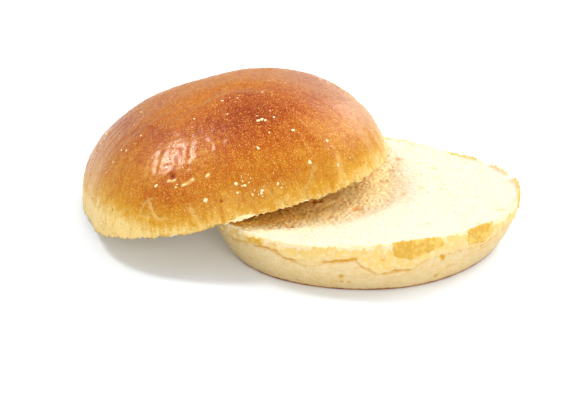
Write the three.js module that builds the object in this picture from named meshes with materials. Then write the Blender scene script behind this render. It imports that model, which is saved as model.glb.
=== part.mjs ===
// A soft bread roll cut in two: the domed crown leans on the heel, with its far left
// rim on the table and its cut face on the heel's edge.
// Millimetres, +Z up. The origin is the middle of the base of the whole, on the table.
import * as THREE from "three";

const deg = THREE.MathUtils.degToRad;

// Driving dimensions.
const CROWN_RADIUS = 55; // of the cut face
const CROWN_HEIGHT = 35.6; // from the cut face to the top of the dome
const CROWN_SKEW = 0.017; // how much higher the dome is towards its +X side
const RIM_FLARE = 0.015; // how far the crown's cut rim spreads, as a share of the radius
const FLARE_HEIGHT = 8; // where that spread has died out
const HEEL_RIM_RADIUS = 51.6;
const HEEL_BASE_RADIUS = 44.8;
const HEEL_HEIGHT = 16.4; // at the middle of the cut face
const HEEL_SLOPE_X = 0.03; // rise of the heel's cut face per millimetre
const HEEL_SLOPE_Y = -0.022;
const WALL_ROUNDING = 2; // power of the heel's wall, which bulges out from the base
const ON_CUT = 1e-3; // how close below the cut face a point still belongs to it

// Where the halves lie.
const CROWN_AT = { x: -17.6, y: -0.5 };
const CROWN_TILT = deg(-12.65); // about Y: the left side is down
const CROWN_LEAN = deg(-5.7); // about X: the far side is down
const HEEL_AT = { x: 25.7, y: -19.2 };
const CONTACT_GAP = 0.5; // left between the crown's cut face and the heel's edge

// Waves round the halves: how many crests, how high, and the phase at which they start.
// An outline's waves are shares of the radius, and a rim's are in millimetres.
const CROWN_OUTLINE = [
  { crests: 3, size: 0.0155, at: deg(81) },
  { crests: 4, size: 0.05, at: deg(-132) },
  { crests: 5, size: 0.007, at: deg(71) },
];
const CROWN_RIM = [{ crests: 4, size: 0.26, at: deg(-112) }];
const HEEL_OUTLINE = [
  { crests: 2, size: 0.004, at: deg(110) },
  { crests: 3, size: 0.013, at: deg(-35) },
  { crests: 4, size: 0.009, at: deg(-6) },
  { crests: 5, size: 0.011, at: deg(30) },
];
const HEEL_RIM = [
  { crests: 2, size: 1.2, at: deg(158) },
  { crests: 3, size: 0.72, at: deg(-78) },
  { crests: 4, size: 0.89, at: deg(64) },
];

// Fineness of the faceted solids.
const SEGMENTS = 64;
const DOME_RINGS = 15;
const WALL_RINGS = 6;
const CUT_RINGS = 6;
const BASE_RINGS = 2;

// Sum of the waves at an angle.
function waves(list, angle) {
  return list.reduce((sum, w) => sum + w.size * Math.cos(w.crests * angle - w.at), 0);
}

// Points of a profile from one radius and height to another, without the first.
function run(steps, point) {
  return Array.from({ length: steps }, (_, i) => {
    const [radius, height] = point((i + 1) / steps);
    return new THREE.Vector2(radius, height);
  });
}

// A closed profile turned about Z, with every vertex then moved by shape(radius, angle, z).
// The profile runs from the foot of the axis up the outside and back to the axis.
function turned(profile, shape) {
  const geometry = new THREE.LatheGeometry(profile, SEGMENTS).rotateX(Math.PI / 2);
  const position = geometry.getAttribute("position");
  for (let i = 0; i < position.count; i++) {
    const radius = Math.hypot(position.getX(i), position.getY(i));
    const angle = Math.atan2(position.getY(i), position.getX(i));
    const [r, z] = shape(radius, angle, position.getZ(i));
    position.setXYZ(i, r * Math.cos(angle), r * Math.sin(angle), z);
  }
  geometry.computeVertexNormals();
  return geometry;
}

// The crown stands on its cut face, a half ellipsoid with a wavy outline.
function crownGeometry() {
  const foot = new THREE.Vector2(0, 0);
  const cut = run(CUT_RINGS, (t) => [CROWN_RADIUS * t, 0]);
  const dome = run(DOME_RINGS, (t) => {
    const climb = (t * Math.PI) / 2;
    return [t < 1 ? CROWN_RADIUS * Math.cos(climb) : 0, CROWN_HEIGHT * Math.sin(climb)];
  });
  return turned([foot, ...cut, ...dome], (radius, angle, z) => {
    const share = radius / CROWN_RADIUS;
    const low = 1 - Math.min(z / FLARE_HEIGHT, 1);
    const spread = 1 + waves(CROWN_OUTLINE, angle) + RIM_FLARE * low ** 2;
    const height = z * (1 + CROWN_SKEW * share * Math.cos(angle));
    const fade = share ** 2 * (1 - z / CROWN_HEIGHT) ** 2;
    return [radius * spread, height + fade * waves(CROWN_RIM, angle)];
  });
}

// Height of the heel's cut face before the crown presses on it.
function heelTop(radius, angle) {
  const x = radius * Math.cos(angle);
  const y = radius * Math.sin(angle);
  const share = radius / HEEL_RIM_RADIUS;
  const slope = HEEL_SLOPE_X * x + HEEL_SLOPE_Y * y;
  return HEEL_HEIGHT + slope + share ** 2 * waves(HEEL_RIM, angle);
}

// The heel: a flat base, a wall that bulges out to the rim, and the cut face. A wall point
// stands at its share of the rim's height above it, and a point of the cut face at its own.
// Both are pressed down wherever they would touch the crown's cut face, a plane given in the
// heel's frame.
function heelGeometry(crownPlane) {
  const foot = new THREE.Vector2(0, 0);
  const base = run(BASE_RINGS, (t) => [HEEL_BASE_RADIUS * t, 0]);
  const bulge = HEEL_RIM_RADIUS - HEEL_BASE_RADIUS;
  const wall = run(WALL_RINGS, (t) => [
    HEEL_RIM_RADIUS - bulge * (1 - t) ** WALL_ROUNDING,
    HEEL_HEIGHT * t,
  ]);
  const cut = run(CUT_RINGS, (t) => [HEEL_RIM_RADIUS * (1 - t), HEEL_HEIGHT]);
  return turned([foot, ...base, ...wall, ...cut], (radius, angle, z) => {
    const spread = 1 + waves(HEEL_OUTLINE, angle);
    const topRadius = z > HEEL_HEIGHT - ON_CUT ? radius : HEEL_RIM_RADIUS;
    const x = topRadius * spread * Math.cos(angle);
    const y = topRadius * spread * Math.sin(angle);
    const { normal, constant } = crownPlane;
    const pressed = -(normal.x * x + normal.y * y + constant) / normal.z - CONTACT_GAP;
    const top = Math.min(heelTop(topRadius, angle), pressed);
    return [radius * spread, (z / HEEL_HEIGHT) * top];
  });
}

function crustMaterial() {
  return new THREE.MeshStandardMaterial({ color: 0xc9752f, roughness: 0.42, metalness: 0 });
}

function crumbMaterial() {
  return new THREE.MeshStandardMaterial({ color: 0xf6e7bd, roughness: 0.85, metalness: 0 });
}

// The crown, turned as it leans and set down so that its lowest point is on the table.
function makeCrown() {
  const crown = new THREE.Mesh(crownGeometry(), crustMaterial());
  crown.name = "crown";
  crown.rotation.set(CROWN_LEAN, CROWN_TILT, 0);
  crown.position.set(CROWN_AT.x, CROWN_AT.y, 0);
  const lowest = new THREE.Box3().setFromObject(crown, true).min.z;
  crown.position.z = -lowest;
  crown.updateMatrixWorld(true);
  return crown;
}

// The heel, flat on the table, under the crown's cut face.
function makeHeel(crown) {
  const cutFace = new THREE.Plane(new THREE.Vector3(0, 0, 1), 0).applyMatrix4(crown.matrixWorld);
  cutFace.translate(new THREE.Vector3(-HEEL_AT.x, -HEEL_AT.y, 0));
  const heel = new THREE.Mesh(heelGeometry(cutFace), crumbMaterial());
  heel.name = "heel";
  heel.position.set(HEEL_AT.x, HEEL_AT.y, 0);
  return heel;
}

const crown = makeCrown();
const heel = makeHeel(crown);
const roll = new THREE.Group();
roll.add(crown, heel);

// The middle of the whole, seen from above, goes to the origin.
const middle = new THREE.Box3().setFromObject(roll, true).getCenter(new THREE.Vector3());
roll.position.set(-middle.x, -middle.y, 0);

export default roll;
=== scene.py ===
import math
from functools import partial

import bpy
import numpy as np
from bpy.props import FloatProperty, FloatVectorProperty, IntProperty, PointerProperty
from bpy.types import Operator, Panel, PropertyGroup
from mathutils import Color, Euler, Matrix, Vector, noise


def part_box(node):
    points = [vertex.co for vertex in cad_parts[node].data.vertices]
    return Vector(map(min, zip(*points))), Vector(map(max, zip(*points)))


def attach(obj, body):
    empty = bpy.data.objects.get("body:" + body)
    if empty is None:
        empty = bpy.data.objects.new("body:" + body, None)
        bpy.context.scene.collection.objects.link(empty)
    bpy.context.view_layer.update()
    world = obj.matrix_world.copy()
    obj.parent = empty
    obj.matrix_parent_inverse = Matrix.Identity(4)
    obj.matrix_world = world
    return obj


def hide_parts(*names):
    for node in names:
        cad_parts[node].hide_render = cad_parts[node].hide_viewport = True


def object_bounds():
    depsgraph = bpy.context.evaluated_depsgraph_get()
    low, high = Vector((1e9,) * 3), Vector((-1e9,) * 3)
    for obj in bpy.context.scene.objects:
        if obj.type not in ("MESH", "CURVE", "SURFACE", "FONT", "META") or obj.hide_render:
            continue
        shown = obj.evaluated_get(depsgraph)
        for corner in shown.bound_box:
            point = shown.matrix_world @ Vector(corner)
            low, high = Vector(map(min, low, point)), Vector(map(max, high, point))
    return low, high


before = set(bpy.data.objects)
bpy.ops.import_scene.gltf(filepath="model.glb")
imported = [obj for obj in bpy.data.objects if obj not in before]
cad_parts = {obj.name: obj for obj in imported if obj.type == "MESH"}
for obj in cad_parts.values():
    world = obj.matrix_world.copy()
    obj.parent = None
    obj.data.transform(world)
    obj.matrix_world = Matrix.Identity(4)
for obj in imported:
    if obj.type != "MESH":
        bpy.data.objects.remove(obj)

bl_info = {
    "name": "Cut bread roll",
    "version": (1, 0, 0),
    "blender": (4, 5, 0),
    "location": "3D View > Sidebar > Roll",
    "description": "Makes the glazed crown and the pale heel of a cut bread roll, and a stage",
    "category": "Object",
}

CAD_BOX = [list(corner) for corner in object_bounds()]
BODY = "root"
MM = 0.001
GRID_STEPS = 222  # quads across each of the two discs that make a half
SAMPLE_STEPS = 60  # the same for the coarse dome that is only measured
RIM_SAMPLES = 720  # points round the heel's rim, when it is measured
ON_RIM = 1 - 1e-9  # least share of a disc's radius at which a point is on its rim
BASE_SHARE = 0.3  # share of the disc's rings that go to the heel's flat base
BASE_HOLLOW = 0.25 * MM  # how far the middle of the heel's base is off the table
STREAK_SHARE = 0.12  # how much a step down the crown counts in streaks, beside one round it
NOISE_STRIDE = np.array([17.3, 5.9, 11.1])  # from one seed's part of the noise to the next

# Uneven numbers that turn the middle of a bubble into a number of 0 to 1, as if at random.
UNEVEN = np.array([12.9898, 78.233, 37.719])
SHUFFLE = 437.5453

# Waves round the halves: how many crests, how high, and the phase in degrees at which they
# start. An outline's waves are shares of the radius, and a rim's are in millimetres.
CROWN_OUTLINE = [(3, 0.0155, 81), (4, 0.05, -132), (5, 0.007, 71)]
CROWN_RIM = [(4, 0.26, -112)]
HEEL_OUTLINE = [(2, 0.004, 110), (3, 0.013, -35), (4, 0.009, -6), (5, 0.011, 30)]
HEEL_RIM = [(2, 1.2, 158), (3, 0.72, -78), (4, 0.89, 64)]
RIM_FLARE = 0.015  # how far the crown's cut rim spreads, as a share of its radius
FLARE_HEIGHT = 8 * MM
CROWN_SKEW = 0.017  # how much higher the dome is towards its +X side
CONTACT_GAP = 0.5 * MM  # left between the crown's cut face and the heel
PRESS_REACH = 2 * MM  # how far past the crown's rim the heel still keeps clear of it

# Creases in the crown's crust. Each has points (degrees round, degrees down from the top),
# its width and depth in millimetres, and how pale it is.
CREASES = [
    ([(-114, 70), (-118, 74), (-119, 78), (-115, 80)], 0.36, 0.45, 0.6),
    ([(-115, 72), (-114, 78), (-112, 81), (-109, 82)], 0.36, 0.45, 0.7),
    ([(-129, 78), (-127, 84), (-124, 89)], 1.3, 0.3, 0.4),
    ([(-101, 79), (-99, 84), (-98, 89)], 1.0, 0.3, 0.4),
    ([(-54, 74), (-57, 80), (-61, 85), (-61, 90)], 0.9, 0.7, 0.35),
    ([(-74, 78), (-71, 84), (-68, 90)], 0.7, 0.35, 0.2),
    ([(-44, 74), (-46, 82), (-48, 90)], 1.2, 0.4, 0.35),
    ([(-101, 19), (-70, 14), (-40, 23)], 3.5, 0.7, 0.0),
    ([(-128, 34), (-112, 26), (-101, 19)], 2.8, 0.5, 0.0),
    ([(-150, 44), (-140, 32), (-120, 20)], 3.0, 0.4, 0.0),
    ([(40, 60), (46, 72), (49, 90)], 1.2, 0.6, 0.3),
    ([(95, 66), (92, 78), (94, 90)], 1.4, 0.6, 0.3),
    ([(150, 70), (147, 80), (143, 90)], 1.1, 0.5, 0.3),
    ([(60, 30), (85, 22), (120, 28)], 3.5, 0.6, 0.0),
]
# Flakes of skin that stand off the crust: points, width and height, in the same units.
FLAKES = [
    ([(-103, 66.5), (-101, 66), (-99, 65)], 0.5, 0.6),
    ([(-94, 64.5), (-93, 64)], 0.45, 0.4),
    ([(-108, 63.2), (-106.5, 63.8), (-105.4, 62.8)], 0.35, 0.4),
    ([(70, 58), (73, 56), (75, 56)], 0.4, 0.5),
]
# Small craters, with shade painted dark in them: degrees round and down, width and depth in
# millimetres.
PITS = [(-107, 61, 1.0, 0.9), (-90, 78, 0.7, 0.4), (12, 52, 0.9, 0.6), (128, 60, 1.0, 0.7)]
# Round patches of crust that are finely crinkled, thick with glaze, strewn with white specks
# or darker: degrees round and down, reach in millimetres, and strength.
CRINKLED = [(-103, 51, 11, 0.6), (-84, 47, 8, 0.4), (60, 50, 15, 0.5), (160, 58, 12, 0.5)]
GLOSSY = [
    (-106, 51, 16, 1.0), (-88, 48, 9, 0.4), (-170, 45, 24, 0.55), (10, 40, 20, 0.4),
    (-12, 54, 26, 0.8), (-100, 5, 20, 0.5), (55, 50, 18, 0.8), (110, 48, 14, 0.7),
    (165, 52, 16, 0.9),
]
SPECKLED = [
    (-78, 76, 3.4, 1.0), (-71, 79, 3.0, 0.5), (-80, 71, 2.6, 0.6), (-63, 44, 3.4, 0.24),
    (-55, 42, 2.0, 0.3), (-72, 57, 2.4, 0.4), (-45, 66, 4.5, 0.16), (-40, 72, 5.0, 0.12),
    (-140, 47, 4.5, 0.2), (-70, 30, 7.0, 0.05), (-105, 62, 6.0, 0.08), (80, 62, 5.0, 0.4),
    (100, 40, 6.0, 0.15), (20, 55, 5.0, 0.3), (170, 60, 5.0, 0.3), (135, 30, 7.0, 0.1),
]
DARKER_PATCHES = [(-66, 35, 13, 0.28), (-107, 74, 12, 0.2), (120, 50, 14, 0.2), (-14, 63, 13, 0.1)]
# How far down from the top the crust is still brown, by the angle round the crown.
BROWN_EDGE = {-180: 76, -150: 72, -130: 73, -112: 80, -90: 85, -65: 87, -45: 86, -25: 83,
              0: 78, 45: 79, 90: 83, 135: 78, 180: 76}
# How brown the crust is, by the share of the way down to that edge.
BROWNING = {0: 0.84, 0.35: 0.88, 0.5: 1.0, 0.7: 0.8, 0.86: 0.65, 0.95: 0.45, 1.0: 0.28, 1.1: 0.0}
FOLDED_SIDE = -5  # degrees round to the side where most folds run up from the crown's rim
STRAY_SPECKS = 0.006  # how thickly specks lie outside their patches
# Where crumb shows over the crown's rim: degrees round, reach in degrees and millimetres up.
BARE_LIP = (-84, 4.5, 1.7)
TORN_LIP = 0.45  # millimetres of crumb that show elsewhere, where the rim is torn

# The torn ledge along the heel's wall: height in millimetres by the angle round the heel.
LEDGE = {-180: 12.6, -160: 11.0, -150: 12.4, -144: 11.5, -137: 12.6, -127: 13.4, -121: 11.5,
         -116: 10.3, -110: 9.6, -105: 11.9, -99: 12.3, -94: 13.2, -91: 10.5, -85: 7.3,
         -79: 8.2, -73: 8.0, -70: 9.8, -67: 11.1, -60: 12.2, -50: 11.4, -40: 10.6, -28: 11.8,
         -15: 10.2, 0: 12.2, 20: 9.0, 32: 11.8, 55: 12.6, 70: 9.4, 90: 11.4, 112: 12.8,
         130: 9.8, 150: 11.6, 180: 12.6}
# How far the upper skin stands out over the ledge, in millimetres.
LEDGE_STEP = {-180: 0.6, -150: 0.6, -128: 0.7, -112: 0.35, -104: 1.0, -94: 0.9, -90: 0.6,
              -84: 0.9, -72: 1.0, -64: 0.4, -45: 0.6, -25: 0.6, 0: 0.8, 30: 0.4, 60: 0.8,
              90: 0.4, 120: 0.7, 150: 0.4, 180: 0.6}
# Folds and tears of the heel's wall: points (degrees round, millimetres up), width and depth
# in millimetres, and how strongly yellow shade is painted in them.
FOLDS = [
    ([(-146, 11.2), (-137, 12.6)], 0.45, 0.4, 0.7),
    ([(-133, 12.8), (-127, 13.4), (-123.5, 13.2), (-121.5, 11.5), (-116.5, 10.3)], 0.5, 0.5, 0.9),
    ([(-114, 9.1), (-107.5, 9.9)], 0.4, 0.2, 0.3),
    ([(-105, 12.0), (-99.5, 12.4), (-94, 13.6)], 0.65, 0.6, 1.3),
    ([(-92.5, 10.5), (-89, 9.9)], 0.4, 0.3, 0.6),
    ([(-84.5, 7.2), (-79.5, 8.2), (-73, 8.0)], 0.6, 0.6, 1.0),
    ([(-73, 8.0), (-71, 9.5), (-67.5, 11.1)], 0.4, 0.3, 0.7),
    ([(-61, 11.6), (-60, 10.4)], 0.7, 0.3, 1.4),
    ([(-84.5, 14.8), (-84, 14.0)], 0.6, 0.3, 1.4),
    ([(-57, 5.2), (-53, 6.6)], 0.35, 0.25, 0.5),
    ([(-40, 9.6), (-30, 11.0), (-24, 11.8)], 0.4, 0.4, 0.5),
    ([(-46, 7.4), (-34, 8.8)], 0.35, 0.3, 0.3),
    ([(12, 10.4), (22, 9.2), (30, 11.6)], 0.5, 0.5, 0.8),
    ([(60, 12.4), (71, 9.6), (80, 10.6)], 0.6, 0.6, 1.0),
    ([(118, 12.0), (131, 10.0), (139, 10.8)], 0.5, 0.5, 0.9),
    ([(160, 9.0), (172, 10.6)], 0.45, 0.4, 0.6),
]
# Browner patches of crust that the knife left on the heel's lip: corners in order.
GOLDEN = [
    [(-136, 15.2), (-129, 16.6), (-128.5, 14.2), (-135, 13.4)],
    [(-81, 19.5), (-63, 20.0), (-61.5, 16.0), (-74.5, 12.8), (-80.5, 14.6)],
    [(-50.5, 20.0), (-36, 19.0), (-34.5, 14.1), (-40.5, 11.7), (-49.5, 12.9)],
    [(-11, 20.0), (8, 20.0), (9, 13.5), (-3, 12.0), (-10, 14.5)],
    [(33, 20.0), (52, 20.0), (50, 13.0), (36, 14.2)],
    [(88, 20.0), (104, 20.0), (101, 12.6), (90, 14.0)],
    [(140, 18.0), (158, 18.0), (156, 11.0), (143, 12.4)],
]
# Where a thin edge of crust stands up round the cut face: first and last degree round, and
# how far it stands in millimetres. A notch is less than nothing.
LIPS = [(14, 26, 1.2), (10.5, 13.5, -0.9), (-1, 9.5, 0.7), (30, 49, 0.4), (66, 82, 0.35),
        (-17, -3, 0.3), (-81, -62.5, 0.25), (-50, -35, 0.3), (95, 118, 0.5), (136, 160, 0.5)]
LIP_EASE = 0.6  # degrees either side of a lip's end over which it rises
# Pores on the wall, with yellow shade painted in them: degrees round, millimetres up, and width.
PORES = [(-99.5, 5.8, 0.7), (-99.5, 4.0, 0.5), (-96.5, 4.0, 0.45), (-117.5, 1.9, 0.4),
         (-61, 3.0, 0.5), (-138, 6.0, 0.4), (20, 5.0, 0.8), (75, 4.0, 0.6), (150, 6.0, 0.8)]
PORE_DEPTH = 0.6 * MM

# The soft lamps: degrees round from the camera's side, degrees up, distance and width in
# metres, and power in watts.
LAMPS = {
    "overhead": (-103, 57, 0.75, 0.22, 1.85),
    "right_side": (104, 50, 0.8, 0.6, 2.55),
    "far_right": (142, 25, 0.8, 0.5, 1.2),
    "front": (14, 22, 1.0, 0.3, 2.3),
}
FLOOR_REACH = 3.0
FLOOR_DROP = 0.02 * MM  # how far under the roll's base the floor lies


def linear(code):
    """A colour of six hexadecimal digits, as shown on a screen, in the light's own units."""
    shown = [int(code[i : i + 2], 16) / 255 for i in (0, 2, 4)]
    return tuple(c / 12.92 if c <= 0.04045 else ((c + 0.055) / 1.055) ** 2.4 for c in shown)


def size_field(name, description, default):
    return FloatProperty(
        name=name, description=description, default=default, min=0.0, unit="LENGTH",
        precision=5,
    )


def angle_field(name, description, degrees):
    return FloatProperty(
        name=name, description=description, default=math.radians(degrees), subtype="ANGLE",
    )


def share_field(name, description, default):
    return FloatProperty(
        name=name, description=description, default=default, min=0.0, max=1.0,
        subtype="FACTOR",
    )


def count_field(name, description, default):
    return IntProperty(name=name, description=description, default=default, min=0)


def colour_field(name, description, code):
    return FloatVectorProperty(
        name=name, description=description, subtype="COLOR", size=3, min=0.0, max=1.0,
        default=linear(code),
    )


class CrownSettings(PropertyGroup):
    radius: size_field("Radius", "Of the cut face", 55 * MM)
    height: size_field("Height", "From the cut face to the top of the dome", 35.6 * MM)
    tilt: angle_field("Tilt", "Left side down", -12.65)
    lean: angle_field("Lean", "Far side down", -5.7)
    lumps: size_field("Lumps", "Height of the broad swellings", 0.5 * MM)
    leather: size_field("Leather", "Height of the fine grain of the skin", 0.16 * MM)
    wrinkles: size_field("Wrinkles", "Height of the folds that run up from the rim", 0.4 * MM)
    burnt: colour_field("Burnt glaze", "In the darkest grains", "8c3a04")
    dark: colour_field("Dark glaze", "Where it is baked most", "aa560c")
    brown: colour_field("Brown glaze", "Over most of the dome", "bd7e22")
    golden: colour_field("Golden glaze", "Down the sides", "ce9e3a")
    pale: colour_field("Pale crust", "At the cut rim", "e6cc8e")
    # Pale grains in the glaze that also stand in for its fine glints: partly painted highlights.
    grains: colour_field("Pale grains", "Tiny spots all over the glaze", "f2d8a8")
    flakes: colour_field("Flakes", "Skin that stands off the crust", "f4e4c0")
    # Painted shade, dark in the small craters.
    pits: colour_field("Pits", "In the small craters", "8a2c02")
    roughness: share_field("Roughness", "Of the egg glaze", 0.4)


class HeelSettings(PropertyGroup):
    rim_radius: size_field("Rim radius", "Of the cut face", 51.6 * MM)
    base_radius: size_field("Base radius", "Of the baked base", 44.8 * MM)
    height: size_field("Height", "At the middle of the cut face", 16.4 * MM)
    slope: FloatVectorProperty(
        name="Slope", description="Rise of the cut face along X and Y", size=2,
        default=(0.03, -0.022),
    )
    skin: colour_field("Skin", "Pale side wall", "e2cea8")
    mottle: colour_field("Mottle", "Clouds in the side wall", "d9bc7a")
    ledge: colour_field("Ledge", "At the foot of the torn band", "e4c98e")
    band: colour_field("Band", "Torn skin between the ledge and the rim", "e3c885")
    golden: colour_field("Golden lip", "Patches of browner crust at the rim", "e0c274")
    tanned: colour_field("Tanned lip", "Clouds in those patches", "d4ac54")
    # Painted shade in the folds, the tears and the pores, and under the ledge.
    fold_shade: colour_field("Fold", "In the tears under the lip", "d2a02a")
    base: colour_field("Base", "Baked underside and its edge", "bd7f38")
    toasted: colour_field("Toasted base", "Clouds in the underside", "94541c")


class CrumbSettings(PropertyGroup):
    bubble: size_field("Bubble", "Width of the small bubbles", 1.5 * MM)
    depth: size_field("Depth", "Of the deepest bubbles", 0.75 * MM)
    light: colour_field("Crumb", "The cut face", "dccdbb")
    # The next colours are painted shade: the deep one in the bubbles, and the last three close
    # under the crown. The warm one also colours the loose crumbs.
    deep: colour_field("Deep crumb", "In the bubbles", "dfc89c")
    warm_shade_and_crumbs: colour_field("Warm crumb", "Ridges in the shade of the crown", "ffe9ac")
    yellow_shade: colour_field("Yellow crumb", "Ridges close under the crown", "f6c874")
    amber_shade: colour_field("Amber crumb", "In the bubbles close under the crown", "d07e12")


class ScatterSettings(PropertyGroup):
    blisters: count_field("Blisters", "Glaze bubbles per square metre", 90000)
    specks: count_field("Specks", "Per square metre where they are thickest", 560000)
    crumbs: count_field("Crumbs", "Loose ones per square metre of the cut edges", 90000)
    speck: colour_field("Speck", "Dry white specks", "f4e2bc")


class StageSettings(PropertyGroup):
    distance: size_field("Camera distance", "From the camera to the roll", 0.7)
    elevation: angle_field("Camera height", "Angle above the horizon", 22)
    lens: FloatProperty(
        name="Lens", description="Focal length on a 36 mm sensor", default=126.3,
        unit="CAMERA",
    )
    aim: FloatVectorProperty(
        name="Aim", description="What the camera looks at", size=3, subtype="XYZ",
        unit="LENGTH", precision=5, default=(-3.5 * MM, 9.0 * MM, 1.6 * MM),
    )
    floor: colour_field("Floor", "Plain pale table", "d6dadf")
    glow: share_field("Glow", "Light that the table itself gives off", 0.12)
    ambient: share_field("Ambient", "Strength of the white surroundings", 0.52)


class Value:
    """A number socket of a node tree. Arithmetic on it adds Math nodes."""

    def __init__(self, tree, socket):
        self.tree = tree
        self.socket = socket

    def math(self, operation, *terms, clamp=False):
        settings = {"operation": operation, "use_clamp": clamp}
        return self.tree.value("ShaderNodeMath", settings, dict(enumerate(terms)))

    def __add__(self, other):
        return self.math("ADD", self, other)

    def __sub__(self, other):
        return self.math("SUBTRACT", self, other)

    def __rsub__(self, other):
        return self.math("SUBTRACT", other, self)

    def __mul__(self, other):
        return self.math("MULTIPLY", self, other)

    def __pow__(self, other):
        return self.math("POWER", self, other)

    __radd__ = __add__
    __rmul__ = __mul__

    def clamped(self):
        return self.math("ADD", self, 0.0, clamp=True)


class Tree:
    """Adds nodes to a node tree. A socket goes by its identifier, its name or its place."""

    def __init__(self, tree):
        self.tree = tree

    @staticmethod
    def find(sockets, key):
        if isinstance(key, int):
            return sockets[key]
        by_identifier = [s for s in sockets if s.identifier == key and s.enabled]
        return (by_identifier or [s for s in sockets if s.name == key and s.enabled])[0]

    def node(self, kind, settings=None, inputs=None):
        made = self.tree.nodes.new(kind)
        for name, setting in (settings or {}).items():
            if name == "stops":
                self.set_stops(made.color_ramp.elements, setting)
            else:
                setattr(made, name, setting)
        for key, given in (inputs or {}).items():
            socket = self.find(made.inputs, key)
            source = given.socket if isinstance(given, Value) else given
            if isinstance(source, Color):
                source = (*source, 1.0)
            if isinstance(source, bpy.types.NodeSocket):
                self.tree.links.new(source, socket)
            else:
                socket.default_value = source
        return made

    @staticmethod
    def set_stops(elements, stops):
        while len(elements) < len(stops):
            elements.new(1.0)
        for element, (position, colour) in zip(elements, stops):
            element.position = position
            element.color = (*colour, 1.0)

    def output(self, kind, settings=None, inputs=None, output=0):
        return self.find(self.node(kind, settings, inputs).outputs, output)

    def value(self, kind, settings=None, inputs=None, output=0):
        return Value(self, self.output(kind, settings, inputs, output))

    def attribute(self, name):
        return self.value("ShaderNodeAttribute", {"attribute_name": name}, output="Fac")

    def noise(self, place, size, detail=2.0, roughness=0.5, distortion=0.0):
        """Noise of 0 to 1 with lumps of that size in the place's own units."""
        inputs = {
            "Vector": place, "Scale": 1 / size, "Detail": detail,
            "Roughness": roughness, "Distortion": distortion,
        }
        return self.value("ShaderNodeTexNoise", None, inputs, output="Fac")

    def cells(self, place, size):
        """Distance from the middles of scattered cells of that size."""
        inputs = {"Vector": place, "Scale": 1 / size}
        return self.value("ShaderNodeTexVoronoi", None, inputs, output="Distance")

    def between(self, number, low, high):
        """0 at low and 1 at high, smooth in between."""
        settings = {"interpolation_type": "SMOOTHSTEP"}
        inputs = {"Value": number, "From Min": low, "From Max": high}
        return self.value("ShaderNodeMapRange", settings, inputs)

    def mix(self, factor, first, second):
        settings = {"data_type": "RGBA"}
        inputs = {"Factor_Float": factor, "A_Color": first, "B_Color": second}
        return self.output("ShaderNodeMix", settings, inputs, "Result_Color")

    def ramp(self, number, stops):
        return self.output("ShaderNodeValToRGB", {"stops": stops}, {"Fac": number}, "Color")

    def principled(self, inputs):
        return self.output("ShaderNodeBsdfPrincipled", None, inputs, "BSDF")

    def place(self):
        """Where a point is, in its piece's own frame."""
        return self.output("ShaderNodeTexCoord", output="Object")

    def finish(self, surface):
        self.node("ShaderNodeOutputMaterial", None, {"Surface": surface})


def new_material(name):
    material = bpy.data.materials.new(name)
    material.use_nodes = True
    material.node_tree.nodes.clear()
    return material, Tree(material.node_tree)


# Measuring and shaping, on arrays of points in metres.


def waves(crests, angle):
    return sum(size * np.cos(n * angle - math.radians(at)) for n, size, at in crests)


def polar(radius, angle, height):
    """Points at a distance from the axis, at an angle round it and at a height."""
    return np.stack([radius * np.cos(angle), radius * np.sin(angle), height], -1)


def smooth(number, low, high):
    """0 up to low, 1 from high, smooth in between."""
    share = np.clip((number - low) / (high - low), 0, 1)
    return share * share * (3 - 2 * share)


def by_angle(table, angle):
    """The value of a table of degrees round, at each angle."""
    return np.interp(np.degrees(angle), list(table), list(table.values()), period=360)


def scaled(points, size, seed):
    return (points / size + NOISE_STRIDE * seed).tolist()


def fractal(points, size, seed, octaves=2):
    """Noise of about -1 to 1 at each point, with lumps of that size."""
    return np.array([noise.fractal(p, 1.0, 2.0, octaves) for p in scaled(points, size, seed)])


def wobble(points, size, seed, ways, octaves=2):
    """Noise in that many directions at once."""
    return np.stack([fractal(points, size, seed + i, octaves) for i in range(ways)], -1)


def ridges(points, size, seed):
    """1 on thin crooked lines, down to 0 between them."""
    return 1 - np.minimum(np.abs(fractal(points, size, seed)) * 3, 1)


def bubbles(points, size, seed, kept=1.0):
    """0 on the walls between cells of that size, to 1 deep in one. Some cells are solid."""
    found = [noise.voronoi(p) for p in scaled(points, size, seed)]
    near = np.array([distances[:2] for distances, _ in found])
    home = np.array([centres[0][:] for _, centres in found])
    luck = np.modf(np.abs(np.sin(home @ UNEVEN) * SHUFFLE))[0]
    deep = smooth(near[:, 1] - near[:, 0], 0.02, 0.5)
    return np.where(luck < kept, deep * (0.35 + 0.65 * luck / kept), 0)


def away_from(points, place):
    return np.linalg.norm(points - place, axis=1)


def reach(points, path):
    """Distance of each point from a broken line."""
    best = np.full(len(points), np.inf)
    for start, end in zip(path, path[1:]):
        along = end - start
        share = np.clip((points - start) @ along / (along @ along), 0, 1)
        best = np.minimum(best, away_from(points, start + share[:, None] * along))
    return best


def bell(distance, width):
    return np.exp(-((distance / width) ** 2))


# A half is two discs of quads that share their rim.


def wrapped_disc(steps):
    """Share of the radius and angle of the points of a square grid wrapped onto a disc."""
    line = np.linspace(-1, 1, steps + 1)
    x, y = np.meshgrid(line, line, indexing="ij")
    wide = abs(x) >= abs(y)
    lead = np.where(wide, x, y)
    follow = np.where(wide, y, x)
    turn = follow / np.where(lead == 0, 1, lead) * math.pi / 4
    angle = np.where(wide, turn, math.pi / 2 - turn) + np.where(lead < 0, math.pi, 0)
    return abs(lead), (angle + math.pi) % (2 * math.pi) - math.pi


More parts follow.
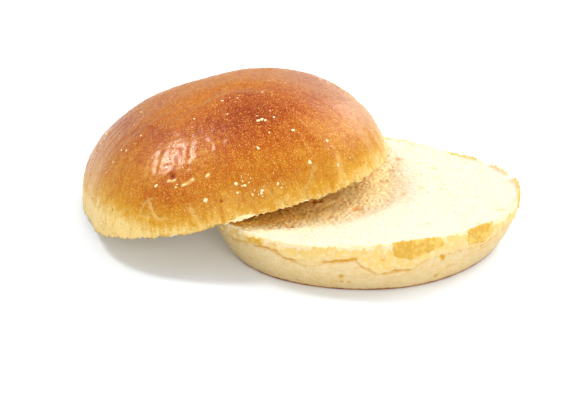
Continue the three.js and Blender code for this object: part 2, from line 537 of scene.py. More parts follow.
class Half:
    """Points of a half of the roll: first its crust and rim, then its cut face."""

    def __init__(self, crust, cut, cut_up):
        share, angle = wrapped_disc(GRID_STEPS)
        inner = share < ON_RIM
        first = share.size
        crust_ids = np.arange(first).reshape(share.shape)
        cut_ids = crust_ids.copy()
        cut_ids[inner] = first + np.arange(inner.sum())
        self.share = np.concatenate([share.ravel(), share[inner]])
        self.angle = np.concatenate([angle.ravel(), angle[inner]])
        self.on_cut = np.arange(len(self.share)) >= first
        self.rim = (self.share >= ON_RIM) & ~self.on_cut
        crust_points = crust(share.ravel(), angle.ravel())
        self.points = np.concatenate([crust_points, cut(share[inner], angle[inner])])
        self.faces = np.concatenate([
            self.quads(crust_ids, flipped=cut_up),
            self.quads(cut_ids, flipped=not cut_up),
        ])
        self.measure_rim()

    @staticmethod
    def quads(ids, flipped):
        corners = [ids[:-1, :-1], ids[1:, :-1], ids[1:, 1:], ids[:-1, 1:]]
        if flipped:
            corners.reverse()
        return np.stack(corners, -1).reshape(-1, 4)

    def measure_rim(self):
        """How far each point is from the point of the rim at its own angle."""
        order = np.argsort(self.angle[self.rim])
        at = self.angle[self.rim][order]
        rim = self.points[self.rim][order]
        near = [np.interp(self.angle, at, rim[:, i], period=2 * math.pi) for i in range(3)]
        self.from_rim = away_from(self.points, np.stack(near, -1))

    def keep_above(self, floor):
        self.points[:, 2] = np.maximum(self.points[:, 2], floor)

    def mesh(self, name):
        mesh = bpy.data.meshes.new(name)
        mesh.from_pydata(self.points.tolist(), [], self.faces.tolist())
        mesh.shade_smooth()
        return mesh

    def push(self, out):
        """Moves each point outwards by its own distance."""
        mesh = self.mesh("normals")
        normals = np.zeros(self.points.size)
        mesh.vertex_normals.foreach_get("vector", normals)
        bpy.data.meshes.remove(mesh)
        self.points = self.points + normals.reshape(-1, 3) * out[:, None]


def store(mesh, **marks):
    """Keeps numbers or vectors at each point of a mesh, for its material or its scatter."""
    for name, values in marks.items():
        kind, field = ("FLOAT", "value") if values.ndim == 1 else ("FLOAT_VECTOR", "vector")
        attribute = mesh.attributes.new(name, kind, "POINT")
        attribute.data.foreach_set(field, values.astype(np.float32).ravel())


def added(name, data):
    """A new object in the scene."""
    thing = bpy.data.objects.new(name, data)
    bpy.context.scene.collection.objects.link(thing)
    return thing


def finished(name, mesh, replaces=()):
    """A piece of that mesh, riding on the roll's body."""
    piece = added(name, mesh)
    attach(piece, BODY)
    if replaces:
        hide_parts(*replaces)
    return piece


# The crown.


def crown_crust(crown, share, angle):
    """Points of the dome in the crown's own frame, whose origin is mid cut face."""
    climb = (1 - share) * math.pi / 2
    radius = crown.radius * np.cos(climb)
    up = crown.height * np.sin(climb)
    out = radius / crown.radius
    low = 1 - np.minimum(up / FLARE_HEIGHT, 1)
    spread = 1 + waves(CROWN_OUTLINE, angle) + RIM_FLARE * low**2
    fade = out**2 * (1 - up / crown.height) ** 2
    height = up * (1 + CROWN_SKEW * out * np.cos(angle))
    height = height + fade * waves(CROWN_RIM, angle) * MM
    return polar(radius * spread, angle, height)


def crown_cut(crown, share, angle):
    spread = 1 + waves(CROWN_OUTLINE, angle) + RIM_FLARE
    height = share**2 * waves(CROWN_RIM, angle) * MM
    return polar(crown.radius * share * spread, angle, height)


def crown_pose(crown):
    """Turn and place of the crown, from the box of its solid."""
    turn = np.array(Euler((crown.lean, crown.tilt, 0)).to_matrix())
    share, angle = wrapped_disc(SAMPLE_STEPS)
    sample = crown_crust(crown, share.ravel(), angle.ravel()) @ turn.T
    low, high = (np.array(corner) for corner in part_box("crown"))
    place = (low + high) / 2 - (sample.min(0) + sample.max(0)) / 2
    place[2] = low[2] - sample[:, 2].min()
    return turn, place


def on_crown(crown, marks):
    """Points of the dome at pairs of degrees round and degrees down from the top."""
    marks = np.array(marks, float)
    return crown_crust(crown, marks[:, 1] / 90, np.radians(marks[:, 0]))


def patches(crown, points, marks):
    """Sum of soft round patches on the dome."""
    total = np.zeros(len(points))
    for around, down, width, strength in marks:
        gap = away_from(points, on_crown(crown, [(around, down)]))
        total += strength * bell(gap, width * MM)
    return total


def crumb_relief(points, crumb):
    """How far the cut face stands out at each point, and how deep in a bubble it is."""
    small = bubbles(points, crumb.bubble, 1)
    large = bubbles(points, crumb.bubble * 2.4, 2, kept=0.16)
    fluff = fractal(points, 1.2 * MM, 3)
    swell = fractal(points, 9 * MM, 4)
    deep = np.maximum(small * 0.5, large)
    return crumb.depth * (0.22 * fluff + 0.35 * swell - deep), np.clip(deep, 0, 1)


def crust_grain(crown, skin, angle, down):
    """Height of the swellings, the leathery grain and the folds that run up from the rim."""
    ribs = polar(crown.radius, angle, skin[:, 2] * STREAK_SHARE)
    sides = 0.35 + 0.65 * smooth(np.cos(angle - math.radians(FOLDED_SIDE)), 0.2, 0.9)
    folds = smooth(down, 48, 74) * sides
    crinkled = np.clip(patches(crown, skin, CRINKLED), 0, 1)
    height = crown.lumps * fractal(skin, 26 * MM, 5)
    height += crown.leather * fractal(skin, 1.8 * MM, 6, octaves=3) * (0.6 + 0.7 * crinkled)
    height += crown.leather * 0.8 * ridges(skin, 2.1 * MM, 7) * (0.2 + 0.5 * crinkled)
    height += crown.wrinkles * folds * fractal(ribs, 4.2 * MM, 8)
    height += crown.wrinkles * 0.35 * smooth(down, 20, 50) * fractal(ribs, 2.0 * MM, 9)
    return height


def crust_marks(crown, skin):
    """Height and paleness of the creases, the flakes and the pits. A pit, whose shade is painted
    dark, is less than pale.
    """
    bent = skin + wobble(skin, 3 * MM, 20, 3) * 0.5 * MM
    height = np.zeros(len(skin))
    tone = np.zeros(len(skin))
    for path, width, depth, paleness in CREASES:
        near = bell(reach(bent, on_crown(crown, path)), width * MM)
        height -= near * depth * MM
        tone = np.maximum(tone, near * paleness)
    for path, width, rise in FLAKES:
        gap = reach(bent, on_crown(crown, path))
        height += (bell(gap, width * MM) - 0.7 * bell(gap, width * 2.2 * MM)) * rise * MM
        tone = np.maximum(tone, 1.5 * bell(gap, width * 0.9 * MM))
    for around, down, width, depth in PITS:
        gap = away_from(bent, on_crown(crown, [(around, down)])) / (width * MM)
        height += (0.3 * bell(gap - 1.5, 0.5) - bell(gap, 1)) * depth * MM
        # Shade painted dark in the pit.
        tone -= bell(gap, 0.8) * 0.8
    return height, tone


def crown_relief(half, crown, crumb):
    """How far each point moves out, how pale it is and how deep in the crumb."""
    out, pale, deep = (np.zeros(len(half.points)) for _ in range(3))
    cut, crust = half.on_cut, ~half.on_cut
    skin = half.points[crust]
    marked, pale[crust] = crust_marks(crown, skin)
    out[crust] = crust_grain(crown, skin, half.angle[crust], half.share[crust] * 90) + marked
    face, deep[cut] = crumb_relief(half.points[cut], crumb)
    out[cut] = face * smooth(half.from_rim[cut], 0, 1.5 * MM)
    return out, pale, deep


def ragged_rim(half, seed, size):
    """Sideways and upward shifts that make the rim crumbly, dying out away from it."""
    hold = bell(half.from_rim, 1.3 * MM)
    flat = polar(50 * MM, half.angle, 0 * half.angle)
    sideways = fractal(flat, 1.3 * MM, seed) + 0.5 * fractal(flat, 5 * MM, seed + 1)
    upward = fractal(flat, 1.1 * MM, seed + 2) + 0.6 * fractal(flat, 4 * MM, seed + 3)
    return polar(sideways * 0.5, half.angle, upward) * (hold * size)[:, None]


def browning(half):
    """1 where the crown's crust is baked dark, to 0 where it is pale."""
    share = half.share * 90 / by_angle(BROWN_EDGE, half.angle)
    return np.interp(share, list(BROWNING), list(BROWNING.values()))


def make_crown(crown, crumb):
    half = Half(partial(crown_crust, crown), partial(crown_cut, crown), cut_up=False)
    smooth_points = half.points.copy()
    out, pale, deep = crown_relief(half, crown, crumb)
    half.push(out)
    half.points += ragged_rim(half, seed=30, size=0.8 * MM)
    turn, place = crown_pose(crown)
    half.points = half.points @ turn.T + place
    half.keep_above(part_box("crown")[0][2])

    crust = ~half.on_cut
    torn = smooth(fractal(smooth_points, 6 * MM, 40, octaves=3), 0.1, 0.6)
    middle, spread, up = BARE_LIP
    lip = bell(np.degrees(half.angle) - middle, spread) * up + TORN_LIP * torn
    bare = smooth(lip * MM - half.from_rim, -0.2 * MM, 0.5 * MM)
    high = smooth(half.from_rim, 1.0 * MM, 2.5 * MM) * crust
    specks = np.clip(patches(crown, smooth_points, SPECKLED) + STRAY_SPECKS, 0, 1)
    mesh = half.mesh("crown_bread")
    store(
        mesh,
        cut=np.where(half.on_cut, 1.0, bare),
        bake=browning(half) + patches(crown, smooth_points, DARKER_PATCHES),
        pale=pale,
        deep=deep,
        around=polar(1, half.angle, half.share * STREAK_SHARE) * crown.radius,
        blistered=high * (0.25 + 0.75 * browning(half)),
        glossy=np.clip(patches(crown, smooth_points, GLOSSY), 0, 1) * crust,
        speckled=specks * high,
        edge=bell(half.from_rim, 0.7 * MM),
        # Warm shade painted at half strength on the crown's crumb.
        sheltered=np.full(len(half.points), 0.5),
    )
    return mesh


# The heel.


def heel_outline(angle):
    return 1 + waves(HEEL_OUTLINE, angle)


def heel_top(heel, cut_plane, radius, angle):
    """Height of the cut face at a radius before the outline's waves, under the crown."""
    x, y = radius * np.cos(angle), radius * np.sin(angle)
    share = radius / heel.rim_radius
    top = heel.height + heel.slope[0] * x + heel.slope[1] * y
    top = top + share**2 * waves(HEEL_RIM, angle) * MM
    middle, normal, point = cut_plane
    outline = heel_outline(angle)
    gap_x = x * outline + middle[0] - point[0]
    gap_y = y * outline + middle[1] - point[1]
    pressed = point[2] - (normal[0] * gap_x + normal[1] * gap_y) / normal[2] - CONTACT_GAP
    return np.minimum(top, pressed)


def heel_crust(heel, cut_plane, share, angle):
    """Points of the base and the wall, whose origin is the middle of the base."""
    climb = np.clip((share - BASE_SHARE) / (1 - BASE_SHARE), 0, 1)
    flat = np.minimum(share / BASE_SHARE, 1) * heel.base_radius
    bulge = heel.rim_radius - heel.base_radius
    radius = np.where(share > BASE_SHARE, heel.rim_radius - bulge * (1 - climb) ** 2, flat)
    top = heel_top(heel, cut_plane, np.full(len(share), heel.rim_radius), angle)
    return polar(radius * heel_outline(angle), angle, climb * top)


def heel_cut(heel, cut_plane, share, angle):
    radius = heel.rim_radius * share
    top = heel_top(heel, cut_plane, radius, angle)
    return polar(radius * heel_outline(angle), angle, top)


def heel_place(heel):
    """The middle of the heel's base, from the box of its solid."""
    angle = np.linspace(-math.pi, math.pi, RIM_SAMPLES)
    ring = polar(heel.rim_radius * heel_outline(angle), angle, 0 * angle)
    low, high = (np.array(corner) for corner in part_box("heel"))
    place = (low + high) / 2 - (ring.min(0) + ring.max(0)) / 2
    place[2] = low[2]
    return place


def unrolled(marks, heel):
    """Millimetres along the wall and up it, from pairs of degrees round and millimetres up."""
    marks = np.array(marks, float)
    return marks * (math.radians(1) * heel.rim_radius / MM, 1)


def within(points, corners):
    """How far inside a patch with straight sides each point is. Outside is less than 0."""
    inside = np.full(len(points), np.inf)
    middle = corners.mean(0)
    for start, end in zip(corners, np.roll(corners, -1, 0)):
        side = (end - start) / np.linalg.norm(end - start)
        across = np.array([-side[1], side[0]])
        across *= np.sign((middle - start) @ across)
        inside = np.minimum(inside, (points - start) @ across)
    return inside


def lip_rise(angle):
    """How far the crust stands up round the cut face, in metres."""
    degrees = np.degrees(angle)
    rise = np.zeros(len(angle))
    for first, last, size in LIPS:
        begun = smooth(degrees, first - LIP_EASE, first + LIP_EASE)
        rise += size * begun * (1 - smooth(degrees, last - LIP_EASE, last + LIP_EASE))
    return rise * MM


def wall_marks(heel, skin, bent, yellow_shade):
    """Height of the folds, the tears and the pores, and how strongly yellow shade is painted in
    them.
    """
    rise = np.zeros(len(skin))
    for path, width, depth, tint in FOLDS:
        near = bell(reach(bent, unrolled(path, heel)), width)
        rise -= near * depth * MM
        yellow_shade = np.maximum(yellow_shade, near * tint)
    for around, up, width in PORES:
        gap = away_from(bent, unrolled([(around, up)], heel))
        rise -= bell(gap, width) * PORE_DEPTH
        yellow_shade = np.maximum(yellow_shade, 1.1 * bell(gap, width))
    return rise, yellow_shade


def heel_wall(heel, skin, angle, from_rim):
    """How far the wall's points move out, and its masks."""
    height = skin[:, 2]
    crooked = wobble(skin, 2.4 * MM, 50, 2, octaves=3)
    bent = np.stack([angle * heel.rim_radius, height], -1) / MM + 0.55 * crooked
    above = height - (by_angle(LEDGE, angle) * MM + 0.4 * MM * crooked[:, 0])
    step = by_angle(LEDGE_STEP, angle) * MM
    over = smooth(above, -0.15 * MM, 0.25 * MM)
    # Yellow shade painted just under the ledge, where the skin above it overhangs.
    shaded = bell(above + 0.3 * MM, 0.45 * MM) * smooth(fractal(skin, 4 * MM, 59), -0.3, 0.4)
    rise, yellow_shade = wall_marks(heel, skin, bent, 0.6 * shaded)
    rise += 0.6 * step * over * (1 - 0.4 * smooth(above, 1 * MM, 5 * MM))
    rise -= 0.15 * step * bell(above + 0.45 * MM, 0.5 * MM)

    patch = np.max([within(bent, unrolled(corners, heel)) for corners in GOLDEN], 0)
    golden = smooth(patch, -0.25, 0.25)
    rise += 0.3 * MM * golden
    rise += 0.45 * MM * over * (1 - golden) * fractal(skin, 2.6 * MM, 56)
    rise += 0.25 * MM * fractal(skin, 12 * MM, 53)
    rise += 0.18 * MM * fractal(skin, 1.6 * MM, 54, octaves=3)
    ragged = 1.0 + 1.5 * fractal(skin, 6 * MM, 57) + 1.2 * fractal(skin, 2 * MM, 58)
    bare = smooth(ragged * MM * (1 - golden) - from_rim, -0.5 * MM, 0.5 * MM)
    band = smooth(above, -0.6 * MM, 0.9 * MM)
    return {
        "out": rise * smooth(height, 0, 1.5 * MM),
        "golden": golden,
        "folded": yellow_shade,
        "cut": bare * (1 - golden),
        "band": band * (0.4 + 0.6 * smooth(above, 0.3 * MM, 3.5 * MM)),
    }


def heel_face(crumb, points, angle, from_rim, crown_shade_share):
    """How far the cut face's points move out, and its masks."""
    face, hollow = crumb_relief(points, crumb)
    face = face * (1 + 1.6 * crown_shade_share) * smooth(from_rim, 0, 1.5 * MM)
    lip = lip_rise(angle)
    skinned = smooth(lip, 0.1 * MM, 0.4 * MM) * bell(from_rim, 0.6 * MM)
    return {
        "out": face + lip * bell(from_rim, 0.7 * MM),
        "deep": hollow,
        "golden": np.ones(len(points)),
        "cut": 1 - 0.8 * skinned,
    }


def heel_relief(half, heel, crumb, crown_shade_share):
    """How far each point moves out, and the masks of the wall and the cut face."""
    cut = half.on_cut
    wall = ~cut & (half.share > BASE_SHARE)
    base = ~cut & ~wall
    wall_shape = half.points[wall], half.angle[wall], half.from_rim[wall]
    cut_shape = half.points[cut], half.angle[cut], half.from_rim[cut]
    parts = [
        (wall, heel_wall(heel, *wall_shape)),
        (cut, heel_face(crumb, *cut_shape, crown_shade_share[cut])),
        (base, {"out": -BASE_HOLLOW * (1 - half.share[base] / BASE_SHARE)}),
    ]
    names = ("out", "deep", "golden", "folded", "cut", "band")
    marks = {name: np.zeros(len(half.points)) for name in names}
    for where, found in parts:
        for name, values in found.items():
            marks[name][where] = values
    return marks


def by_crown(points, turn, crown_at, crown):
    """The points in the crown's own frame, and how far each lies past its rim."""
    local = (points - crown_at) @ turn
    angle = np.arctan2(local[:, 1], local[:, 0])
    spread = 1 + waves(CROWN_OUTLINE, angle) + RIM_FLARE
    return local, np.hypot(local[:, 0], local[:, 1]) / spread - crown.radius


def crown_shade(points, turn, crown_at, crown):
    """Share of the crown's shade that is painted on the cut face: 1 close under the crown, down
    to 0 away from it.
    """
    local, past_rim = by_crown(points, turn, crown_at, crown)
    beyond = past_rim / MM + 1.5 * fractal(points, 2.2 * MM, 70)
    gap = -local[:, 2] / MM
    return (1 - smooth(beyond, -7, 5.0 + 0.45 * gap)) * (1 - 0.6 * smooth(gap, 3, 14))


def make_heel(heel, crown, crumb):
    place = heel_place(heel)
    turn, crown_at = crown_pose(crown)
    cut_plane = (place, turn[:, 2], crown_at)
    half = Half(
        partial(heel_crust, heel, cut_plane), partial(heel_cut, heel, cut_plane), cut_up=True
    )
    # Share of the crown's shade that is painted warm on the cut face. It also deepens the bubbles
    # there.
    crown_shade_share = crown_shade(half.points + place, turn, crown_at, crown) * half.on_cut
    marks = heel_relief(half, heel, crumb, crown_shade_share)
    height = half.points[:, 2].copy()
    half.push(marks.pop("out"))
    rim_lift = lip_rise(half.angle) * bell(half.from_rim, 0.8 * MM) * ~half.on_cut
    half.points[:, 2] += rim_lift
    half.points += ragged_rim(half, seed=60, size=0.55 * MM)
    half.points += place
    local, past_rim = by_crown(half.points, turn, crown_at, crown)
    pressed = (past_rim < PRESS_REACH) & (local[:, 2] > -CONTACT_GAP)
    local[pressed, 2] = -CONTACT_GAP
    half.points = local @ turn.T + crown_at
    half.keep_above(place[2])

    under = np.where(half.share <= BASE_SHARE, 1.0, 1 - smooth(height, 0.1 * MM, 1.5 * MM))
    mesh = half.mesh("heel_bread")
    store(
        mesh,
        **marks,
        bake=np.where(half.on_cut, 0.0, under),
        # Painted shade: the crown's shade on the cut face, and a fixed share on the torn crumb of
        # the wall.
        sheltered=np.where(half.on_cut, crown_shade_share, 0.4),
        edge=bell(half.from_rim, 0.9 * MM),
    )
    return mesh


# Materials.


def bread_shader(tree, height, bump, inputs):
    """A soft shader of those inputs, dented by a height with that strength and depth."""
    strength, depth = bump
    dented = {"Strength": strength, "Distance": depth, "Height": height}
    normal = tree.output("ShaderNodeBump", None, dented, "Normal")
    return tree.principled({**inputs, "Normal": normal})


def ragged_mask(tree, place, softness, torn=0.0):
    """The crumb's share, with a crumbly edge, and in flecks where the skin is torn."""
    grain = tree.noise(place, 0.9 * MM)
    flecks = tree.between(tree.noise(place, 2.2 * MM, detail=4, roughness=0.65), 0.38, 0.7)
    share = tree.attribute("cut") + (grain - 0.5) * 0.7 + flecks * torn
    return tree.between(share, 0.5 - softness, 0.5 + softness)


def join_crumb(tree, mask, crust, crumb):
    """Ends a material: crust where the mask is 0, and crumb where it is 1."""
    inside = crumb_shader(tree, crumb)
    tree.finish(tree.output("ShaderNodeMixShader", None, {0: mask, 1: crust, 2: inside}))


def crumb_shader(tree, crumb):
    """The soft, open inside of the bread, with shade painted in its bubbles and warm shade
    painted close under the crown.
    """
    place = tree.place()
    deep = tree.attribute("deep")
    sheltered = tree.attribute("sheltered")
    fine = tree.noise(place, 1.2 * MM, detail=4, roughness=0.6)
    broad = tree.noise(place, 7 * MM)
    pinholes = 1 - tree.between(tree.cells(place, 1.3 * MM), 0.1, 0.34)
    # Painted shade: bubbles and pinholes are darker, more so under the crown, where the ridges
    # are also painted warm.
    hollows = deep * (0.9 + sheltered * 0.3) + pinholes * (0.5 - sheltered * 0.3)
    clumps = (broad - 0.5) * 0.5 + (fine - 0.5) * (0.8 + sheltered * 3.4)
    sunk = (hollows + clumps - 0.12).clamped()
    shaded_ridges = tree.mix(tree.between(sheltered, 0.55, 1.0), crumb.warm_shade_and_crumbs, crumb.yellow_shade)
    shaded = tree.mix(sunk, shaded_ridges, crumb.amber_shade)
    return bread_shader(tree, fine * 1.1 - pinholes * 0.3, (0.5, 0.6 * MM), {
        "Base Color": tree.mix(sheltered, tree.mix(sunk, crumb.light, crumb.deep), shaded),
        "Roughness": 0.9,
        "Specular IOR Level": 0.2,
        "Subsurface Weight": 0.5,
        "Subsurface Radius": (1.0, 0.62, 0.3),
        "Subsurface Scale": 2.2 * MM,
    })


def crown_material(crown, crumb):
    material, tree = new_material("glazed_crust")
    place = tree.place()
    around = tree.output("ShaderNodeAttribute", {"attribute_name": "around"}, None, "Vector")
    bake = tree.attribute("bake")
    pale = tree.attribute("pale")
    clouds = tree.noise(place, 9 * MM, detail=3)
    mottle = tree.noise(place, 2.2 * MM, detail=3, roughness=0.6)
    grain = tree.noise(place, 0.45 * MM, detail=3, roughness=0.7)
    streaks = tree.noise(around, 1.1 * MM, detail=3, roughness=0.55, distortion=0.4)
    dots = 1 - tree.between(tree.cells(place, 1.5 * MM), 0.12, 0.3)

    tone = bake * 0.94 + (clouds - 0.5) * 0.4 + (mottle - 0.5) * 0.5 + (streaks - 0.5) * 0.4
    tone = tone + (grain - 0.5) * (0.5 + bake * bake * 1.3)
    colour = tree.ramp(tone * 0.8, [
        (0.0, crown.pale), (0.24, crown.golden), (0.52, crown.brown), (0.8, crown.dark),
        (1.0, crown.burnt),
    ])
    # Pale grains, partly painted highlights standing in for the glaze's fine glints.
    colour = tree.mix(tree.between(0.42 - grain, 0.0, 0.1) * 0.5, colour, crown.grains)
    colour = tree.mix(dots * 0.45, colour, crown.golden)
    colour = tree.mix(pale.clamped(), colour, crown.pale)
    colour = tree.mix(tree.between(pale, 0.9, 1.3), colour, crown.flakes)
    # Painted shade in the pits.
    colour = tree.mix(tree.between(0.0 - pale, 0.1, 0.6) * 0.8, colour, crown.pits)
    height = grain * 0.9 + mottle * 0.6 + streaks * 0.6 + dots * 0.4
    crust = bread_shader(tree, height, (0.8, 0.3 * MM), {
        "Base Color": colour,
        "Roughness": crown.roughness + (mottle - 0.5) * 0.25 + (1 - bake.clamped()) * 0.12,
        "Specular IOR Level": 0.22,
        "Coat Weight": (tree.attribute("glossy") * 0.85 + 0.1).clamped(),
        "Coat Roughness": 0.28,
        "Subsurface Weight": 0.05,
        "Subsurface Radius": (1.0, 0.45, 0.15),
        "Subsurface Scale": 1.5 * MM,
    })
    join_crumb(tree, ragged_mask(tree, place, 0.1), crust, crumb)
    return material


def heel_material(heel, crumb):
    material, tree = new_material("pale_crust")
    place = tree.place()
    golden = tree.attribute("golden")
    band = tree.attribute("band")
    clouds = tree.noise(place, 8 * MM, detail=3)
    mottle = tree.noise(place, 2.0 * MM, detail=3, roughness=0.6)
    grain = tree.noise(place, 0.7 * MM)
    stretched = tree.output(
        "ShaderNodeMapping", None, {"Vector": place, "Scale": (1, 1, 0.25)}, "Vector"
    )
    scratches = tree.noise(stretched, 1.0 * MM)

    speckle = (mottle - 0.5) * 0.5 + (clouds - 0.5) * 0.5 + (grain - 0.5) * 0.7
    skin = tree.mix((0.3 + speckle * 1.8).clamped(), heel.skin, heel.mottle)
    skin = tree.mix(tree.between(band, 0.05, 0.4) * 0.5, skin, heel.ledge)
    skin = tree.mix(tree.between(band + speckle * 0.5, 0.45, 1.0), skin, heel.band)
    lip = tree.between(golden + (grain - 0.5) * 0.4, 0.3, 0.7)
    patch = tree.mix(tree.between(mottle + clouds, 0.8, 1.15), heel.golden, heel.tanned)
    skin = tree.mix(lip, skin, patch)
    # Painted shade in the folds, the tears and the pores, and under the ledge.
    skin = tree.mix((tree.attribute("folded") * 0.9).clamped(), skin, heel.fold_shade)
    clouded = tree.between(clouds + (mottle - 0.5) * 0.6, 0.35, 0.7)
    baked = tree.mix(clouded, heel.base, heel.toasted)
    browned = tree.between(tree.attribute("bake") + speckle * 0.5, 0.25, 1.0)
    height = mottle * 0.6 + grain * 0.6 + scratches * 0.5
    crust = bread_shader(tree, height, (0.9, 0.4 * MM), {
        "Base Color": tree.mix(browned, skin, baked),
        "Roughness": 0.62 + (mottle - 0.5) * 0.2,
        "Specular IOR Level": 0.35,
        "Subsurface Weight": 0.25,
        "Subsurface Radius": (1.0, 0.55, 0.25),
        "Subsurface Scale": 1.8 * MM,
    })
    mask = ragged_mask(tree, place, 0.45, torn=band * (1 - lip) * 0.75)
    join_crumb(tree, mask, crust, crumb)
    return material


def plain_material(name, colour, roughness, spread, sheen=0.5):
    """One colour, mottled by noise on a scale of a few millimetres."""
    material, tree = new_material(name)
    mottle = tree.noise(tree.place(), spread)
    tree.finish(tree.principled({
        "Base Color": tree.mix(mottle, colour, colour * 0.82),
        "Roughness": roughness,
        "Specular IOR Level": sheen,
    }))
    return material


# Small things scattered over a half by Geometry Nodes.


SCATTER_INPUTS = {
    "Surface": "Geometry", "Density": "Float", "Where": "String", "Smallest": "Float",
    "Largest": "Float", "Flatness": "Float", "Crookedness": "Float", "Roundness": "Int",
    "Seed": "Int", "Material": "Material",
}
NARROWEST = 0.6  # a lump's least width one way, as a share of its width the other way
RARITY = 2.5  # the higher, the fewer lumps come near the largest size
DENT = 0.6 * MM  # how far a lump of crookedness 1 is dented
DENT_WIDTH = 0.5 * MM


def scatter_tree():
    """Lumps on a surface, as thick as an attribute says, sunk in it and turned to its face."""
    group = bpy.data.node_groups.new("scatter", "GeometryNodeTree")
    for label, kind in SCATTER_INPUTS.items():
        group.interface.new_socket(label, in_out="INPUT", socket_type="NodeSocket" + kind)
    group.interface.new_socket("Lumps", in_out="OUTPUT", socket_type="NodeSocketGeometry")
    tree = Tree(group)
    given = tree.node("NodeGroupInput").outputs
    floats = {"data_type": "FLOAT"}
    named = {"Name": given["Where"]}
    where = tree.value("GeometryNodeInputNamedAttribute", floats, named, output="Attribute")
    points = tree.node("GeometryNodeDistributePointsOnFaces", None, {
        "Mesh": given["Surface"], "Density": where * Value(tree, given["Density"]),
        "Seed": given["Seed"],
    }).outputs
    ball = tree.output("GeometryNodeMeshIcoSphere", None, {
        "Radius": 0.5, "Subdivisions": given["Roundness"],
    }, "Mesh")
    spin = tree.output("FunctionNodeRandomValue", {"data_type": "FLOAT_VECTOR"}, {
        "Max": (0.0, 0.0, 2 * math.pi), "Seed": given["Seed"],
    }, "Value")
    turned = tree.output("FunctionNodeRotateRotation", {"rotation_space": "LOCAL"}, {
        "Rotation": points["Rotation"], "Rotate By": spin,
    }, "Rotation")
    luck = tree.value("FunctionNodeRandomValue", floats, {"Seed": given["Seed"]}, output=1)
    small, large = Value(tree, given["Smallest"]), Value(tree, given["Largest"])
    width = small + luck**RARITY * (large - small)
    stretch = tree.value("FunctionNodeRandomValue", floats, {
        "Min": NARROWEST, "Max": 1.0, "Seed": 7,
    }, output=1)
    size = tree.output("ShaderNodeCombineXYZ", None, {
        "X": width, "Y": width * stretch, "Z": width * Value(tree, given["Flatness"]),
    })
    placed = tree.output("GeometryNodeInstanceOnPoints", None, {
        "Points": points["Points"], "Instance": ball, "Rotation": turned, "Scale": size,
    })
    real = tree.output("GeometryNodeRealizeInstances", None, {"Geometry": placed})
    place = tree.output("GeometryNodeInputPosition")
    rough = tree.output("ShaderNodeTexNoise", None, {
        "Vector": place, "Scale": 1 / DENT_WIDTH, "Detail": 1.0,
    }, "Color")
    centred = tree.output("ShaderNodeVectorMath", {"operation": "SUBTRACT"}, {
        0: rough, 1: (0.5, 0.5, 0.5),
    })
    moved = tree.output("ShaderNodeVectorMath", {"operation": "SCALE"}, {
        0: centred, "Scale": Value(tree, given["Crookedness"]) * DENT,
    })
    bent = tree.output("GeometryNodeSetPosition", None, {"Geometry": real, "Offset": moved})
    above = tree.output("ShaderNodeVectorMath", {"operation": "MAXIMUM"}, {
        0: place, 1: (-1.0, -1.0, 0.0),
    })
    raised = tree.output("GeometryNodeSetPosition", None, {"Geometry": bent, "Position": above})
    soft = tree.output("GeometryNodeSetShadeSmooth", None, {"Geometry": raised})
    done = tree.output("GeometryNodeSetMaterial", None, {
        "Geometry": soft, "Material": given["Material"],
    })
    tree.node("NodeGroupOutput", None, {0: done})
    return group


def scatter(name, half, slot, **inputs):
    """A piece of small lumps on the crown or the heel."""
    carrier = added(name + "_carrier", bpy.data.objects[f"{half}_bread"].data)
    modifier = carrier.modifiers.new("scatter", "NODES")
    modifier.node_group = bpy.data.node_groups.get("scatter") or scatter_tree()
    sockets = modifier.node_group.interface.items_tree
    named = {item.name: item.identifier for item in sockets if item.in_out == "INPUT"}
    for label, given in inputs.items():
        modifier[named[label]] = given
    graph = bpy.context.evaluated_depsgraph_get()
    mesh = bpy.data.meshes.new_from_object(carrier.evaluated_get(graph))
    mesh.name = name
    bpy.data.objects.remove(carrier)
    if not len(mesh.polygons):
        raise RuntimeError(f"{name} has no lumps")
    return finished(name, mesh)


class ROLL_OT_crown(Operator):
    """Make the glazed crown, which leans on the heel"""

    bl_idname = "roll.crown"
    bl_label = "Crown"

    def execute(self, context):
        scene = context.scene
        mesh = make_crown(scene.roll_crown, scene.roll_crumb)
        mesh.materials.append(crown_material(scene.roll_crown, scene.roll_crumb))
        finished("crown_bread", mesh, replaces=["crown"])
        return {"FINISHED"}


class ROLL_OT_heel(Operator):
    """Make the pale heel with its open crumb"""

    bl_idname = "roll.heel"
    bl_label = "Heel"

    def execute(self, context):
        scene = context.scene
        mesh = make_heel(scene.roll_heel, scene.roll_crown, scene.roll_crumb)
        mesh.materials.append(heel_material(scene.roll_heel, scene.roll_crumb))
        finished("heel_bread", mesh, replaces=["heel"])
        return {"FINISHED"}


class ROLL_OT_blisters(Operator):
    """Scatter small glaze blisters over the crown's crust"""

    bl_idname = "roll.blisters"
    bl_label = "Blisters"

    def execute(self, context):
        crown = context.scene.roll_crown
        golden = crown.golden * 0.6 + crown.brown * 0.4
        scatter(
            "crust_blisters", "crown", "crust", Where="blistered",
            Density=float(context.scene.roll_scatter.blisters),
            Smallest=0.3 * MM, Largest=1.0 * MM, Flatness=0.32, Crookedness=0.1,
            Roundness=2, Seed=3, Material=plain_material("blister_glaze", golden, 0.35, 4 * MM),
        )
        return {"FINISHED"}


class ROLL_OT_specks(Operator):
    """Scatter dry white specks over the crown's crust"""

    bl_idname = "roll.specks"
    bl_label = "Specks"

    def execute(self, context):
        settings = context.scene.roll_scatter
        material = plain_material("dry_speck", settings.speck, 0.8, 1 * MM, sheen=0.2)
        scatter(
            "crust_specks", "crown", "crust", Where="speckled",
            Density=float(settings.specks),
            Smallest=0.25 * MM, Largest=1.5 * MM, Flatness=0.4, Crookedness=1.3,
            Roundness=2, Seed=11, Material=material,
        )
        return {"FINISHED"}


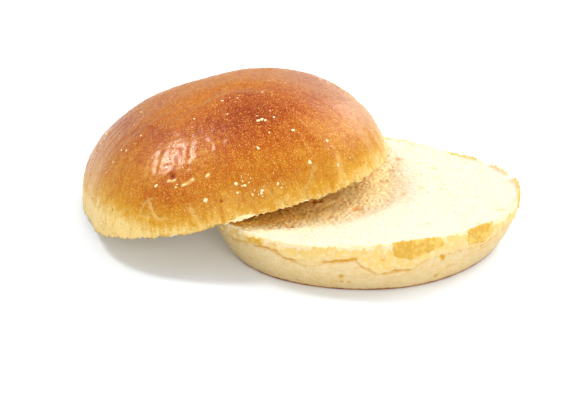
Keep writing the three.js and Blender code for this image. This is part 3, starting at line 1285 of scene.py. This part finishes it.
class ROLL_OT_crumbs(Operator):
    """Scatter loose crumbs along the cut edges of both halves"""

    bl_idname = "roll.crumbs"
    bl_label = "Crumbs"

    def execute(self, context):
        scene = context.scene
        material = plain_material("loose_crumb", scene.roll_crumb.warm_shade_and_crumbs, 0.9, 2 * MM, sheen=0.2)
        for half, share, seed in (("crown", 0.3, 21), ("heel", 1.0, 22)):
            scatter(
                f"{half}_edge_crumbs", half, "crumb", Where="edge",
                Density=share * scene.roll_scatter.crumbs,
                Smallest=0.2 * MM, Largest=0.6 * MM, Flatness=0.7, Crookedness=0.8,
                Roundness=1, Seed=seed, Material=material,
            )
        return {"FINISHED"}


def hang(name, data, middle, azimuth, elevation, distance):
    """A lamp or a camera that looks at the middle. Azimuth 0 is on the camera's side."""
    level = math.cos(elevation)
    away = Vector((
        math.sin(azimuth) * level, -math.cos(azimuth) * level, math.sin(elevation),
    ))
    thing = added(name, data)
    thing.location = middle + away * distance
    thing.rotation_euler = away.to_track_quat("Z", "Y").to_euler()
    return thing


class ROLL_OT_stage(Operator):
    """Make the floor, the soft lights and the camera"""

    bl_idname = "roll.stage"
    bl_label = "Stage"

    def execute(self, context):
        stage = context.scene.roll_stage
        self.floor(stage)
        self.surroundings(context.scene, stage)
        middle = (Vector(CAD_BOX[0]) + Vector(CAD_BOX[1])) / 2
        for name, (azimuth, elevation, distance, size, power) in LAMPS.items():
            lamp = bpy.data.lights.new(name, "AREA")
            lamp.shape = "SQUARE"
            lamp.size = size
            lamp.energy = power
            hang(name, lamp, middle, math.radians(azimuth), math.radians(elevation), distance)
        lens = bpy.data.cameras.new("camera")
        lens.lens = stage.lens
        lens.clip_start, lens.clip_end = 0.01, 20
        aim = Vector(stage.aim)
        context.scene.camera = hang("camera", lens, aim, 0, stage.elevation, stage.distance)
        return {"FINISHED"}

    def floor(self, stage):
        mesh = bpy.data.meshes.new("floor")
        turns = [(-1, -1), (1, -1), (1, 1), (-1, 1)]
        corners = [(x * FLOOR_REACH, y * FLOOR_REACH, -FLOOR_DROP) for x, y in turns]
        mesh.from_pydata(corners, [], [(0, 1, 2, 3)])
        material, tree = new_material("pale_floor")
        tree.finish(tree.principled({
            "Base Color": stage.floor,
            "Roughness": 0.9,
            "Specular IOR Level": 0.1,
            "Emission Color": (1.0, 1.0, 1.0, 1.0),
            "Emission Strength": stage.glow,
        }))
        mesh.materials.append(material)
        added("floor", mesh)

    def surroundings(self, scene, stage):
        world = bpy.data.worlds.new("white_room")
        world.use_nodes = True
        background = world.node_tree.nodes["Background"]
        background.inputs["Color"].default_value = (1, 1, 1, 1)
        background.inputs["Strength"].default_value = stage.ambient
        scene.world = world
        scene.view_settings.view_transform = "Standard"
        scene.view_settings.look = "High Contrast"


class ROLL_PT_panel(Panel):
    """The roll's pieces and their settings"""

    bl_label = "Bread roll"
    bl_idname = "ROLL_PT_panel"
    bl_space_type = "VIEW_3D"
    bl_region_type = "UI"
    bl_category = "Roll"

    def draw(self, context):
        for operator in OPERATORS:
            self.layout.operator(operator.bl_idname)
        for name, settings in SETTINGS.items():
            box = self.layout.box()
            for field in settings.__annotations__:
                box.prop(getattr(context.scene, name), field)


SETTINGS = {
    "roll_crown": CrownSettings,
    "roll_heel": HeelSettings,
    "roll_crumb": CrumbSettings,
    "roll_scatter": ScatterSettings,
    "roll_stage": StageSettings,
}
OPERATORS = [
    ROLL_OT_crown, ROLL_OT_heel, ROLL_OT_blisters, ROLL_OT_specks, ROLL_OT_crumbs,
    ROLL_OT_stage,
]


def register():
    for kind in [*SETTINGS.values(), *OPERATORS, ROLL_PT_panel]:
        bpy.utils.register_class(kind)
    for name, settings in SETTINGS.items():
        setattr(bpy.types.Scene, name, PointerProperty(type=settings))


def unregister():
    for name in SETTINGS:
        delattr(bpy.types.Scene, name)
    for kind in reversed([*SETTINGS.values(), *OPERATORS, ROLL_PT_panel]):
        bpy.utils.unregister_class(kind)


def main():
    register()
    bpy.ops.roll.crown()
    bpy.ops.roll.heel()
    bpy.ops.roll.blisters()
    bpy.ops.roll.specks()
    bpy.ops.roll.crumbs()
    bpy.ops.roll.stage()


if __name__ == "__main__":
    main()
